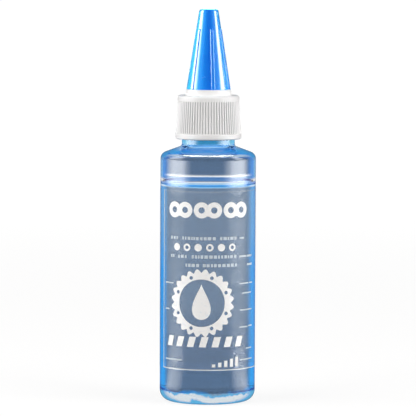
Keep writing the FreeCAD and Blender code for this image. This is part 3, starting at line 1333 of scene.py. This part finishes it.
    def front(self) -> list[Motif]:
        """Return the motifs on the front.

        Returns:
            The motifs.
        """
        return [
            Motif("print_chain_strip", self.chain_strip()),
            Motif("print_beads", self.beads()),
            Motif("print_chainring", self.chainring()),
            Motif("print_drop", self.drop()),
            Motif("print_slant_bars", self.slant_bars()),
            Motif("print_level_bars", self.level_bars()),
        ]

    def fine(self) -> list[Motif]:
        """Return the thin-ink rows and strokes between and beside the front motifs.

        Returns:
            The motifs.
        """
        draw = random.Random(self.fine_seed)
        motifs = []
        for number, (low, span) in enumerate(self.fine_rows):
            bars = self.broken_row(draw, span, low, self.fine_bar)
            bars += self.broken_row(draw, self.side_row, low + self.side_lift, self.side_bar)
            motifs.append(Motif(f"print_fine_row_{number + 1}", bars))
        strokes = [box_bar(start, low, length, self.stroke_height) for low, start, length in self.strokes]
        return motifs + [Motif("print_fine_strokes", strokes)]

    def back(self) -> list[Motif]:
        """Return the rows of short bars on the back, in two columns.

        Returns:
            The motifs.
        """
        draw = random.Random(self.back_seed)
        motifs = []
        for number, low in enumerate(self.back_rows):
            bars = []
            for span in self.back_columns:
                bars += self.broken_row(draw, span, low, self.back_bar)
            motifs.append(Motif(f"print_back_row_{number + 1}", bars))
        return motifs


@dataclass
class FilmLabel(Assembly):
    """The clear film round the body and the white print on it."""

    inner: float = 16.77
    outer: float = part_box("clear_label")[1].x / MM
    low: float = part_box("clear_label")[0].z / MM
    high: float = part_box("clear_label")[1].z / MM
    start_deg: float = 204.4
    wrap_deg: float = 340.0
    steps: int = 160
    crease: float = 40.0
    edge_width: float = 0.5
    top_edge_highlight: float = 0.3
    back_edge_highlight: float = 0.3
    ink_gap: float = 0.005
    ink_thickness: float = 0.02
    ink_facet: float = 0.7
    film: FilmFinish = FilmFinish()
    ink: InkFinish = InkFinish()
    thin_ink: InkFinish = InkFinish("label_ink_thin", (0.86, 0.94, 1.0), cover=0.5)

    def build_film(self) -> None:
        """Build the film as a thin closed shell and mark where its painted edge highlight goes: full along
        the sides and the foot, fainter along the top and on the back.
        """
        start, wrap = math.radians(self.start_deg), math.radians(self.wrap_deg)
        rim = self.edge_width / self.outer
        between = [rim + (wrap - 2.0 * rim) * k / self.steps for k in range(1, self.steps)]
        angles = [start + turn for turn in (0.0, rim, *between, wrap - rim, wrap)]
        heights = (self.low, self.low + self.edge_width, self.high - self.edge_width, self.high)
        section = [(self.outer, height) for height in heights]
        section += [(self.inner, height) for height in reversed(heights)]
        verts, marks = [], []
        for radius, height in section:
            for angle in angles:
                verts.append((*on_circle((0.0, 0.0), radius, angle), height))
                at_side = height == self.low or angle in (angles[0], angles[-1])
                mark = 1.0 if at_side else self.top_edge_highlight if height == self.high else 0.0
                marks.append(mark * (self.back_edge_highlight if math.sin(angle) > 0.0 else 1.0))
        wide, around = len(angles), len(section)
        faces = grid_faces(around, wide, close_rows=True, close_columns=False)
        for row in range(len(heights) - 1):
            corners = (row, row + 1, around - 2 - row, around - 1 - row)
            for end in (0, wide - 1):
                faces.append(tuple(corner * wide + end for corner in corners))
        film = finish_mesh("label_film_wrap", np.array(verts), faces, self.crease)
        mark_points(film, "cut_edge", marks)
        dress(film, Body.BOTTLE, Slot.LABEL, [self.film.material(self.effects)], "clear_label")

    def flat_shapes(self, loops: Sequence[Outline]) -> bmesh.types.BMesh:
        """Fill closed outlines, one inside another being a hole.

        Args:
            loops: The outlines, as distance to the right along the label and height.

        Returns:
            The flat shapes.
        """
        sketch = bpy.data.curves.new("print_outline", "CURVE")
        sketch.dimensions = "2D"
        sketch.fill_mode = "BOTH"
        for loop in loops:
            spline = sketch.splines.new("POLY")
            spline.points.add(len(loop) - 1)
            for point, (across, up) in zip(spline.points, loop):
                point.co = (across, up, 0.0, 1.0)
            spline.use_cyclic_u = True
        carrier = add_object("print_outline", sketch)
        mesh = bpy.data.meshes.new_from_object(carrier)
        bpy.data.objects.remove(carrier)
        bpy.data.curves.remove(sketch)
        work = bmesh.new()
        work.from_mesh(mesh)
        bpy.data.meshes.remove(mesh)
        bmesh.ops.remove_doubles(work, verts=work.verts, dist=1e-4)
        return work

    def lay_ink(self, motif: Motif, centre: float, material: Material) -> None:
        """Lay a motif round the label as a thin layer of ink.

        Args:
            motif: The motif.
            centre: The angle that its distances start from.
            material: The ink's material.
        """
        work = self.flat_shapes(motif.loops)
        across = [vert.co.x for vert in work.verts]
        cut = math.floor(min(across)) + 0.5
        while cut < max(across):
            parts = list(work.verts) + list(work.edges) + list(work.faces)
            bmesh.ops.bisect_plane(work, geom=parts, dist=1e-4, plane_co=(cut, 0, 0), plane_no=(1, 0, 0))
            cut += self.ink_facet
        grown = bmesh.ops.extrude_face_region(work, geom=list(work.faces), use_keep_orig=True)
        raised = {part for part in grown["geom"] if isinstance(part, bmesh.types.BMVert)}
        back = self.outer + self.ink_gap
        for vert in work.verts:
            radius = back + (self.ink_thickness if vert in raised else 0.0)
            place = on_circle((0.0, 0.0), radius, centre + vert.co.x / self.outer)
            vert.co = Vector((*place, vert.co.y)) * MM
        bmesh.ops.recalc_face_normals(work, faces=work.faces)
        mesh = bpy.data.meshes.new(motif.name)
        work.to_mesh(mesh)
        work.free()
        dress(add_object(motif.name, mesh), Body.BOTTLE, Slot.LABEL, [material])

    def build(self) -> None:
        """Build the film and the print."""
        self.build_film()
        layout = LabelPrint()
        ink, thin_ink = self.ink.material(self.effects), self.thin_ink.material(self.effects)
        for motif in layout.front():
            self.lay_ink(motif, FRONT_ANGLE, ink)
        for motif in layout.fine():
            self.lay_ink(motif, FRONT_ANGLE, thin_ink)
        for motif in layout.back():
            self.lay_ink(motif, BACK_ANGLE, thin_ink)


# The caps


@dataclass
class NozzleCap(Assembly):
    """The ribbed screw cap with its collar, spigot and nozzle, and the washer under its roof."""

    foot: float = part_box("nozzle_cap")[0].z / MM
    foot_radius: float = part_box("nozzle_cap")[1].x / MM
    tip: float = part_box("nozzle_cap")[1].z / MM
    bore: float = 9.75
    roof: float = 106.2
    top: float = 107.6
    seat: float = 109.7
    grip_low: float = 94.3
    grip_high: float = 105.8
    grip_low_radius: float = 11.19
    grip_high_radius: float = 10.55
    rib_depth: float = 0.28
    rib_count: int = 72
    rib_ramp: float = 0.35
    rib_power: float = 2.2
    shade_power: float = 4.0
    shade_inset: float = 0.2
    skirt_wall: float = 0.5
    skirt_reach: float = 0.05
    band_edge: float = 0.8
    foot_round: float = 0.6
    collar_foot: float = 8.07
    collar_top: float = 7.9
    spigot: float = 6.55
    spigot_end: float = 113.0
    nozzle_foot: float = 5.4
    nozzle_tip: float = 1.7
    channel: float = 4.2
    tip_bore: float = 0.7
    tip_bore_length: float = 2.5
    steps_per_rib: int = 10
    arc_step: float = 12.0
    thread_root: float = 9.85
    thread_crest: float = 9.05
    thread_start: float = 97.83
    finish: CapFinish = CapFinish()
    washer: WasherFinish = WasherFinish()

    def valley(self, height: np.ndarray) -> np.ndarray:
        """Return the skirt's radius between ribs at a height."""
        share = np.clip((height - self.grip_low) / (self.grip_high - self.grip_low), 0.0, 1.0)
        return self.grip_low_radius + (self.grip_high_radius - self.grip_low_radius) * share

    def outline(self) -> Outline:
        """Return the moulding's half outline, with rows for the ribs' ends.

        Returns:
            The closed half outline.
        """
        crest = self.grip_high_radius + self.rib_depth
        low, high = self.grip_low + self.rib_ramp, self.grip_high - self.rib_ramp
        grip = [Corner(float(self.valley(height)), height) for height in (low, (low + high) / 2.0, high)]
        corners = [
            Corner(self.bore, self.foot, 0.2),
            Corner(self.foot_radius, self.foot, self.foot_round),
            Corner(self.foot_radius, self.grip_low, 0.25),
            Corner(self.grip_low_radius, self.grip_low, 0.08),
            *grip,
            Corner(crest, self.grip_high),
            Corner(crest, self.top, self.band_edge),
            Corner(self.collar_foot, self.top, 0.25),
            Corner(self.collar_top, self.seat, 0.2),
            Corner(self.spigot, self.seat, 0.1),
            Corner(self.spigot, self.spigot_end, 0.3),
            Corner(self.nozzle_foot, self.spigot_end, 0.3),
            Corner(self.nozzle_tip, self.tip, 0.4),
            Corner(self.tip_bore, self.tip, 0.1),
            Corner(self.tip_bore, self.tip - self.tip_bore_length),
            Corner(self.channel, self.spigot_end, 0.5),
            Corner(self.channel, self.roof, 0.2),
            Corner(self.bore, self.roof, 0.3),
        ]
        return rounded_outline(corners, closed=True, step=self.arc_step)

    def ribs(self, turn: np.ndarray, radius: np.ndarray, height: np.ndarray) -> np.ndarray:
        """Return the height of the grip ribs over the skirt.

        Args:
            turn: The angle of each point.
            radius: Its radius.
            height: Its height.

        Returns:
            What to add to its radius.
        """
        on_skirt = np.abs(radius - self.valley(height)) < self.skirt_reach
        on_skirt &= (height > self.grip_low) & (height < self.grip_high)
        groove = (0.5 + 0.5 * np.cos(self.rib_count * turn)) ** self.rib_power
        return np.where(on_skirt, self.rib_depth * (1.0 - groove), 0.0)

    def painted_shade_marks(self, moulding: Piece) -> list[float]:
        """Return how deep each point lies between two ribs, for the painted shade in the grooves.

        Args:
            moulding: The cap.

        Returns:
            One mark for each point, 1 at the bottom of a groove.
        """
        marks = []
        for point in moulding.data.vertices:
            radius, height = point.co.xy.length / MM, point.co.z / MM
            along = self.grip_low + self.shade_inset < height < self.grip_high - self.shade_inset
            angle = math.atan2(point.co.y, point.co.x)
            shade = (0.5 + 0.5 * math.cos(self.rib_count * angle)) ** self.shade_power
            marks.append(shade if along and radius > self.bore + self.skirt_wall else 0.0)
        return marks

    def build(self) -> None:
        """Build the cap with its thread and dress the washer."""
        materials = [self.finish.material(self.effects)]
        segments = self.rib_count * self.steps_per_rib
        moulding = lathe("cap_moulding", self.outline(), segments, closed=True, relief=self.ribs)
        # The marks steer the finish's painted shade in the grooves between the ribs.
        mark_points(moulding, "groove", self.painted_shade_marks(moulding))
        dress(moulding, Body.CAP, Slot.CAP, materials, "nozzle_cap")
        thread = ScrewThread("cap_thread", self.thread_root, self.thread_crest, self.thread_start).build()
        dress(thread, Body.CAP, Slot.CAP, materials)
        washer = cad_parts["sealing_washer"]
        washer.data.materials.clear()
        washer.data.materials.append(self.washer.material(self.effects))
        log.info("%s: dressed", washer.name)


@dataclass
class Overcap(Assembly):
    """The hollow pull-off cone with its ribs and the pin that closes the nozzle."""

    foot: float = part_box("overcap")[0].z / MM
    end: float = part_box("overcap")[1].z / MM
    foot_radius: float = 7.72
    end_radius: float = 3.3
    mouth: float = 6.6
    mouth_end: float = 113.2
    inner_foot: float = 6.06
    inner_top: float = 1.91
    roof: float = 136.2
    pin: float = 0.6
    pin_end: float = 131.9
    edge: float = 0.85
    rib_count: int = 6
    rib_bearing_deg: float = 282.5
    rib_height: float = 0.28
    rib_foot_width: float = 1.3
    rib_top_width: float = 1.14
    rib_top: float = 130.9
    rib_end: float = 0.5
    rib_flank: float = 0.22
    side_reach: float = 0.02
    segments: int = 720
    crease: float = 40.0
    finish: OvercapFinish = OvercapFinish()

    def face(self, height: np.ndarray) -> np.ndarray:
        """Return the cone's outer radius at a height."""
        share = (height - self.foot) / (self.end - self.foot)
        return self.foot_radius + (self.end_radius - self.foot_radius) * share

    def outline(self) -> Outline:
        """Return the half outline, from the pin's end to the outer crown.

        Returns:
            The open half outline.
        """
        inside = [
            Corner(0.0, self.pin_end),
            Corner(self.pin, self.pin_end, 0.15),
            Corner(self.pin, self.roof, 0.1),
            Corner(self.inner_top, self.roof, 0.2),
            Corner(self.inner_foot, self.mouth_end, 0.2),
            Corner(self.mouth, self.mouth_end, 0.1),
            Corner(self.mouth, self.foot, 0.12),
            Corner(self.foot_radius, self.foot, 0.12),
        ]
        # Wide rows along the cone's side, close ones where the ribs end
        heights = list(np.linspace(self.foot + 1.0, self.rib_top - 1.2, 8))
        heights += list(np.linspace(self.rib_top - 0.8, self.rib_top + 0.2, 9))
        side = [Corner(float(self.face(height)), float(height)) for height in heights]
        outside = [Corner(self.end_radius, self.end, self.edge), Corner(0.0, self.end)]
        return rounded_outline(inside + side + outside, closed=False)

    def ribs(self, turn: np.ndarray, radius: np.ndarray, height: np.ndarray) -> np.ndarray:
        """Return the height of the ribs over the cone.

        Args:
            turn: The angle of each point.
            radius: Its radius.
            height: Its height.

        Returns:
            What to add to its radius.
        """
        spacing = TAU / self.rib_count
        away = (turn - math.radians(self.rib_bearing_deg) + spacing / 2.0) % spacing - spacing / 2.0
        share = np.clip((height - self.foot) / (self.rib_top - self.foot), 0.0, 1.0)
        half = (self.rib_foot_width + (self.rib_top_width - self.rib_foot_width) * share) / 2.0
        inside = np.clip((half - np.abs(away) * radius) / self.rib_flank, 0.0, 1.0)
        below = np.clip((self.rib_top - height) / self.rib_end, 0.0, 1.0)
        on_side = np.abs(radius - self.face(height)) < self.side_reach
        soft = inside * inside * (3.0 - 2.0 * inside) * np.sqrt(below)
        return np.where(on_side, self.rib_height * soft, 0.0)

    def build(self) -> None:
        """Build the overcap."""
        shape = {"relief": self.ribs, "crease": self.crease}
        cone = lathe(OVERCAP_PIECE, self.outline(), self.segments, closed=False, **shape)
        dress(cone, Body.OVERCAP, Slot.OVERCAP, [self.finish.material(self.effects)], "overcap")


# The studio


class LampUse(Enum):
    """What a light is for: its mirror image on gloss, or its light on matte surfaces."""

    GLOSS = "gloss"
    SHADE = "shade"


@dataclass(frozen=True)
class Panel:
    """A rectangular light that faces the axis: its bearing from the front, size and place in metres."""

    name: str
    use: LampUse
    bearing_deg: float
    width: float
    tall: float
    radiance: float
    distance: float
    height: float
    aim: float
    colour: Colour = (1.0, 1.0, 1.0)
    soft: bool = False
    only: Optional[str] = None


def strip(name: str, bearing: float, width: float, low: float, high: float, radiance: float) -> Panel:
    """Return an upright light between two heights that only gloss shows, with soft sides."""
    place = {"distance": 0.32, "height": (low + high) / 2.0, "aim": (low + high) / 2.0}
    return Panel(name, LampUse.GLOSS, bearing, width, high - low, radiance, soft=True, **place)


def wash(name: str, bearing: float, radiance: float) -> Panel:
    """Return a light on the sides of the matte pieces."""
    place = {"distance": 0.48, "height": 0.38, "aim": 0.25}
    return Panel(name, LampUse.SHADE, bearing, width=0.3, tall=0.6, radiance=radiance, **place)


def fill(name: str, bearing: float) -> Panel:
    """Return a soft warm light from the front."""
    place = {"distance": 0.9, "height": 0.4, "aim": 0.07, "colour": (1.0, 0.975, 0.945)}
    return Panel(name, LampUse.SHADE, bearing, width=0.5, tall=0.7, radiance=4.4, **place)


def overcap_wash(name: str, bearing: float, radiance: float) -> Panel:
    """Return a light from behind that reaches the overcap's sides only."""
    reach = {"distance": 0.5, "height": 0.13, "aim": 0.13, "colour": (1.0, 1.0, 0.35), "only": OVERCAP_PIECE}
    return Panel(name, LampUse.SHADE, bearing, width=0.2, tall=0.3, radiance=radiance, **reach)


def top_light(name: str, radiance: float) -> Panel:
    """Return a light from above that reaches the bottle only."""
    reach = {"distance": 0.05, "height": 0.6, "aim": 0.1, "only": BOTTLE_PIECE}
    return Panel(name, LampUse.GLOSS, 180.0, width=0.5, tall=0.4, radiance=radiance, **reach)


@dataclass
class Studio:
    """A plain white set: floor, surroundings, lights at both sides, in front and above, and the camera."""

    aim_height: float = 67.9
    elevation_deg: float = 4.6
    distance: float = 1.3
    view_width: float = 0.1462
    roll_deg: float = 0.26
    sensor: float = 36.0
    panels: tuple[Panel, ...] = (
        strip("strip_left_low", -79.0, 0.42, 0.002, 0.047, 0.7),
        strip("strip_left_middle", -80.0, 0.58, 0.049, 0.12, 6.4),
        strip("strip_left_high", -88.0, 0.36, 0.14, 0.45, 7.0),
        strip("strip_right_low", 73.0, 0.42, 0.002, 0.047, 5.0),
        strip("strip_right_middle", 74.0, 0.56, 0.049, 0.12, 6.8),
        strip("strip_right_high", 81.0, 0.22, 0.14, 0.45, 7.5),
        wash("left_wash", -86.0, 2.5),
        fill("left_fill", -52.0),
        wash("right_wash", 80.0, 2.2),
        fill("right_fill", 52.0),
        overcap_wash("left_overcap_wash", -97.0, 60.0),
        overcap_wash("right_overcap_wash", 97.0, 30.0),
        top_light("top_light", 15.0),
    )
    panel_fade: Point = (0.1, 0.5)
    ambient: float = 0.3
    mirror_levels: Point = (0.03, 0.14)
    world_mirror_span: Point = (-0.1, 0.9)
    floor_mirror_span: Point = (-0.3, 0.2)
    floor_size: float = 40.0
    floor_albedo: float = 0.2
    floor_glow: Point = (0.83, 0.975)
    floor_glow_span: Point = (0.05, 1.2)
    streak_levels: Point = (15.0, 4.0)
    streak_reach: Point = (0.06, 0.3)
    streak_start: Point = (0.03, 0.055)
    streak_slope: float = 0.25
    streak_width: Point = (0.1, 0.6)
    light_bounces: int = 200

    def white_rays(self, nodes: NodeTree) -> Socket:
        """Return 1 for the rays that see the white surroundings: camera, gloss and glass.

        Args:
            nodes: The world's nodes.

        Returns:
            The share.
        """
        path = nodes.add("ShaderNodeLightPath").outputs
        seen = nodes.math("MAXIMUM", path["Is Camera Ray"], path["Is Glossy Ray"])
        return nodes.math("MAXIMUM", seen, path["Is Transmission Ray"])

    def gloss_dimmed(self, nodes: NodeTree, level: Socket, first_depth: float) -> Socket:
        """Return the level for light mirrored once, straight off the outside, and 1 for all other light.

        Args:
            nodes: The material's or the world's nodes.
            level: How bright the surroundings look in that mirror.
            first_depth: The ray depth that such light has there.

        Returns:
            The level.
        """
        path = nodes.add("ShaderNodeLightPath").outputs
        first = nodes.math("LESS_THAN", path["Ray Depth"], first_depth + 0.5)
        once = nodes.math("MULTIPLY", path["Is Reflection Ray"], first)
        return nodes.blend(once, 1.0, level, kind="FLOAT")

    def build_world(self) -> None:
        """Make the surroundings: white to look at, dark in front for gloss, a soft fill for the object."""
        world = bpy.data.worlds.new("white_studio")
        world.use_nodes = True
        bpy.context.scene.world = world
        nodes = NodeTree(world.node_tree)
        nodes.tree.nodes.clear()
        towards = nodes.split(nodes.add("ShaderNodeTexCoord").outputs["Generated"])
        behind = nodes.spread(towards["Y"], self.world_mirror_span, *self.mirror_levels)
        levels = (self.ambient, self.gloss_dimmed(nodes, behind, 2.0))
        soft, white = (nodes.add("ShaderNodeBackground", {"Strength": level}).outputs[0] for level in levels)
        mix = nodes.add("ShaderNodeMixShader", {"Fac": self.white_rays(nodes), 1: soft, 2: white})
        nodes.add("ShaderNodeOutputWorld", {"Surface": mix.outputs["Shader"]})

    def floor_mirror(self, nodes: NodeTree, place: Socket, away: Socket) -> Socket:
        """Return how bright the floor looks in gloss: dark in front, with a bright streak at each side.

        Args:
            nodes: The floor's nodes.
            place: The place on the floor.
            away: The distance from the object.

        Returns:
            The level.
        """
        apart = nodes.split(place)
        behind = nodes.spread(apart["Y"], self.floor_mirror_span, *self.mirror_levels)
        sideways = nodes.math("MAXIMUM", nodes.math("ABSOLUTE", apart["X"]), 1e-4)
        slope = nodes.math("ADD", nodes.math("DIVIDE", apart["Y"], sideways), self.streak_slope)
        across = nodes.spread(nodes.math("ABSOLUTE", slope), self.streak_width, 1.0, 0.0)
        streak = nodes.math("MULTIPLY", across, nodes.spread(away, self.streak_reach, *self.streak_levels))
        streak = nodes.math("MULTIPLY", streak, nodes.spread(away, self.streak_start))
        return nodes.math("MAXIMUM", behind, streak)

    def build_floor(self) -> None:
        """Lay a pale floor that keeps the object's shadow."""
        half = self.floor_size / 2.0
        mesh = bpy.data.meshes.new("floor")
        corners = [(-half, -half, 0), (half, -half, 0), (half, half, 0), (-half, half, 0)]
        mesh.from_pydata(corners, [], [(0, 1, 2, 3)])
        floor = add_object("floor", mesh)
        material = bpy.data.materials.new("white_floor")
        material.use_nodes = True
        mesh.materials.append(material)
        nodes = NodeTree(material.node_tree)
        nodes.tree.nodes.clear()
        path = nodes.add("ShaderNodeLightPath").outputs
        place = nodes.place()
        away = nodes.add("ShaderNodeVectorMath", {0: place}, operation="LENGTH").outputs["Value"]
        level = nodes.spread(away, self.floor_glow_span, *self.floor_glow)
        glow = nodes.math("MULTIPLY", path["Is Camera Ray"], level)
        paper = nodes.add("ShaderNodeBsdfDiffuse", {"Color": (self.floor_albedo,) * 3}).outputs[0]
        shine = nodes.add("ShaderNodeEmission", {"Strength": glow}).outputs[0]
        lit = nodes.add("ShaderNodeAddShader", {0: paper, 1: shine}).outputs[0]
        mirrored = self.gloss_dimmed(nodes, self.floor_mirror(nodes, place, away), 1.0)
        seen = nodes.add("ShaderNodeEmission", {"Strength": mirrored}).outputs[0]
        through = nodes.math("MAXIMUM", path["Is Glossy Ray"], path["Is Transmission Ray"])
        mix = nodes.add("ShaderNodeMixShader", {"Fac": through, 1: lit, 2: seen})
        nodes.add("ShaderNodeOutputMaterial", {"Surface": mix.outputs["Shader"]})

    def hang(self, panel: Panel) -> None:
        """Hang one light.

        Args:
            panel: What the light is like.
        """
        lamp = bpy.data.lights.new(panel.name, "AREA")
        lamp.shape = "RECTANGLE"
        lamp.size = panel.width
        lamp.size_y = panel.tall
        lamp.energy = panel.radiance * math.pi * panel.width * panel.tall
        lamp.color = panel.colour
        obj = add_object(panel.name, lamp)
        bearing = math.radians(panel.bearing_deg)
        place = Vector((math.sin(bearing), -math.cos(bearing), 0.0)) * panel.distance
        place.z = panel.height
        obj.location = place
        obj.rotation_euler = (Vector((0.0, 0.0, panel.aim)) - place).to_track_quat("-Z", "Y").to_euler()
        obj.visible_camera = False
        obj.visible_transmission = False
        obj.visible_diffuse = panel.use is LampUse.SHADE
        obj.visible_glossy = panel.use is LampUse.GLOSS
        if panel.soft:
            self.soften(lamp)
        if panel.only:
            lit = bpy.data.collections.new(panel.name + "_reach")
            lit.objects.link(bpy.data.objects[panel.only])
            obj.light_linking.receiver_collection = lit

    def soften(self, lamp: bpy.types.Light) -> None:
        """Let a panel fade towards its two upright edges.

        Args:
            lamp: The panel's light.
        """
        lamp.use_nodes = True
        nodes = NodeTree(lamp.node_tree)
        emission = next(node for node in nodes.tree.nodes if node.type == "EMISSION")
        apart = nodes.split(nodes.add("ShaderNodeNewGeometry").outputs["Parametric"])
        off_centre = nodes.math("ABSOLUTE", nodes.math("SUBTRACT", apart["X"], 0.5))
        nodes.feed(emission.inputs["Strength"], nodes.spread(off_centre, self.panel_fade, 1.0, 0.0))

    def build_camera(self) -> None:
        """Place the camera in front, a little above the object."""
        camera = bpy.data.cameras.new("camera")
        camera.sensor_width = self.sensor
        camera.lens = camera.sensor_width * self.distance / self.view_width
        obj = add_object("camera", camera)
        lift = math.radians(self.elevation_deg)
        target = Vector((0.0, 0.0, self.aim_height * MM))
        obj.location = target + Vector((0.0, -math.cos(lift), math.sin(lift))) * self.distance
        facing = (target - obj.location).to_track_quat("-Z", "Y").to_matrix()
        obj.rotation_euler = (facing @ Matrix.Rotation(math.radians(self.roll_deg), 3, "Z")).to_euler()
        bpy.context.scene.camera = obj

    def build(self) -> None:
        """Build the whole set."""
        scene = bpy.context.scene
        scene.view_settings.view_transform = "Standard"
        scene.cycles.max_bounces = self.light_bounces
        scene.cycles.glossy_bounces = self.light_bounces
        scene.cycles.transmission_bounces = self.light_bounces
        scene.cycles.transparent_max_bounces = self.light_bounces
        self.build_world()
        self.build_floor()
        for panel in self.panels:
            self.hang(panel)
        self.build_camera()
        log.info("studio built")


def main() -> None:
    """Build every piece and the studio."""
    logging.basicConfig(level=logging.INFO, format="%(name)s: %(message)s")
    effects = SharedEffects()
    for assembly in (Bottle, FilmLabel, NozzleCap, Overcap):
        assembly(effects).build()
    Studio().build()


if __name__ == "__main__":
    main()
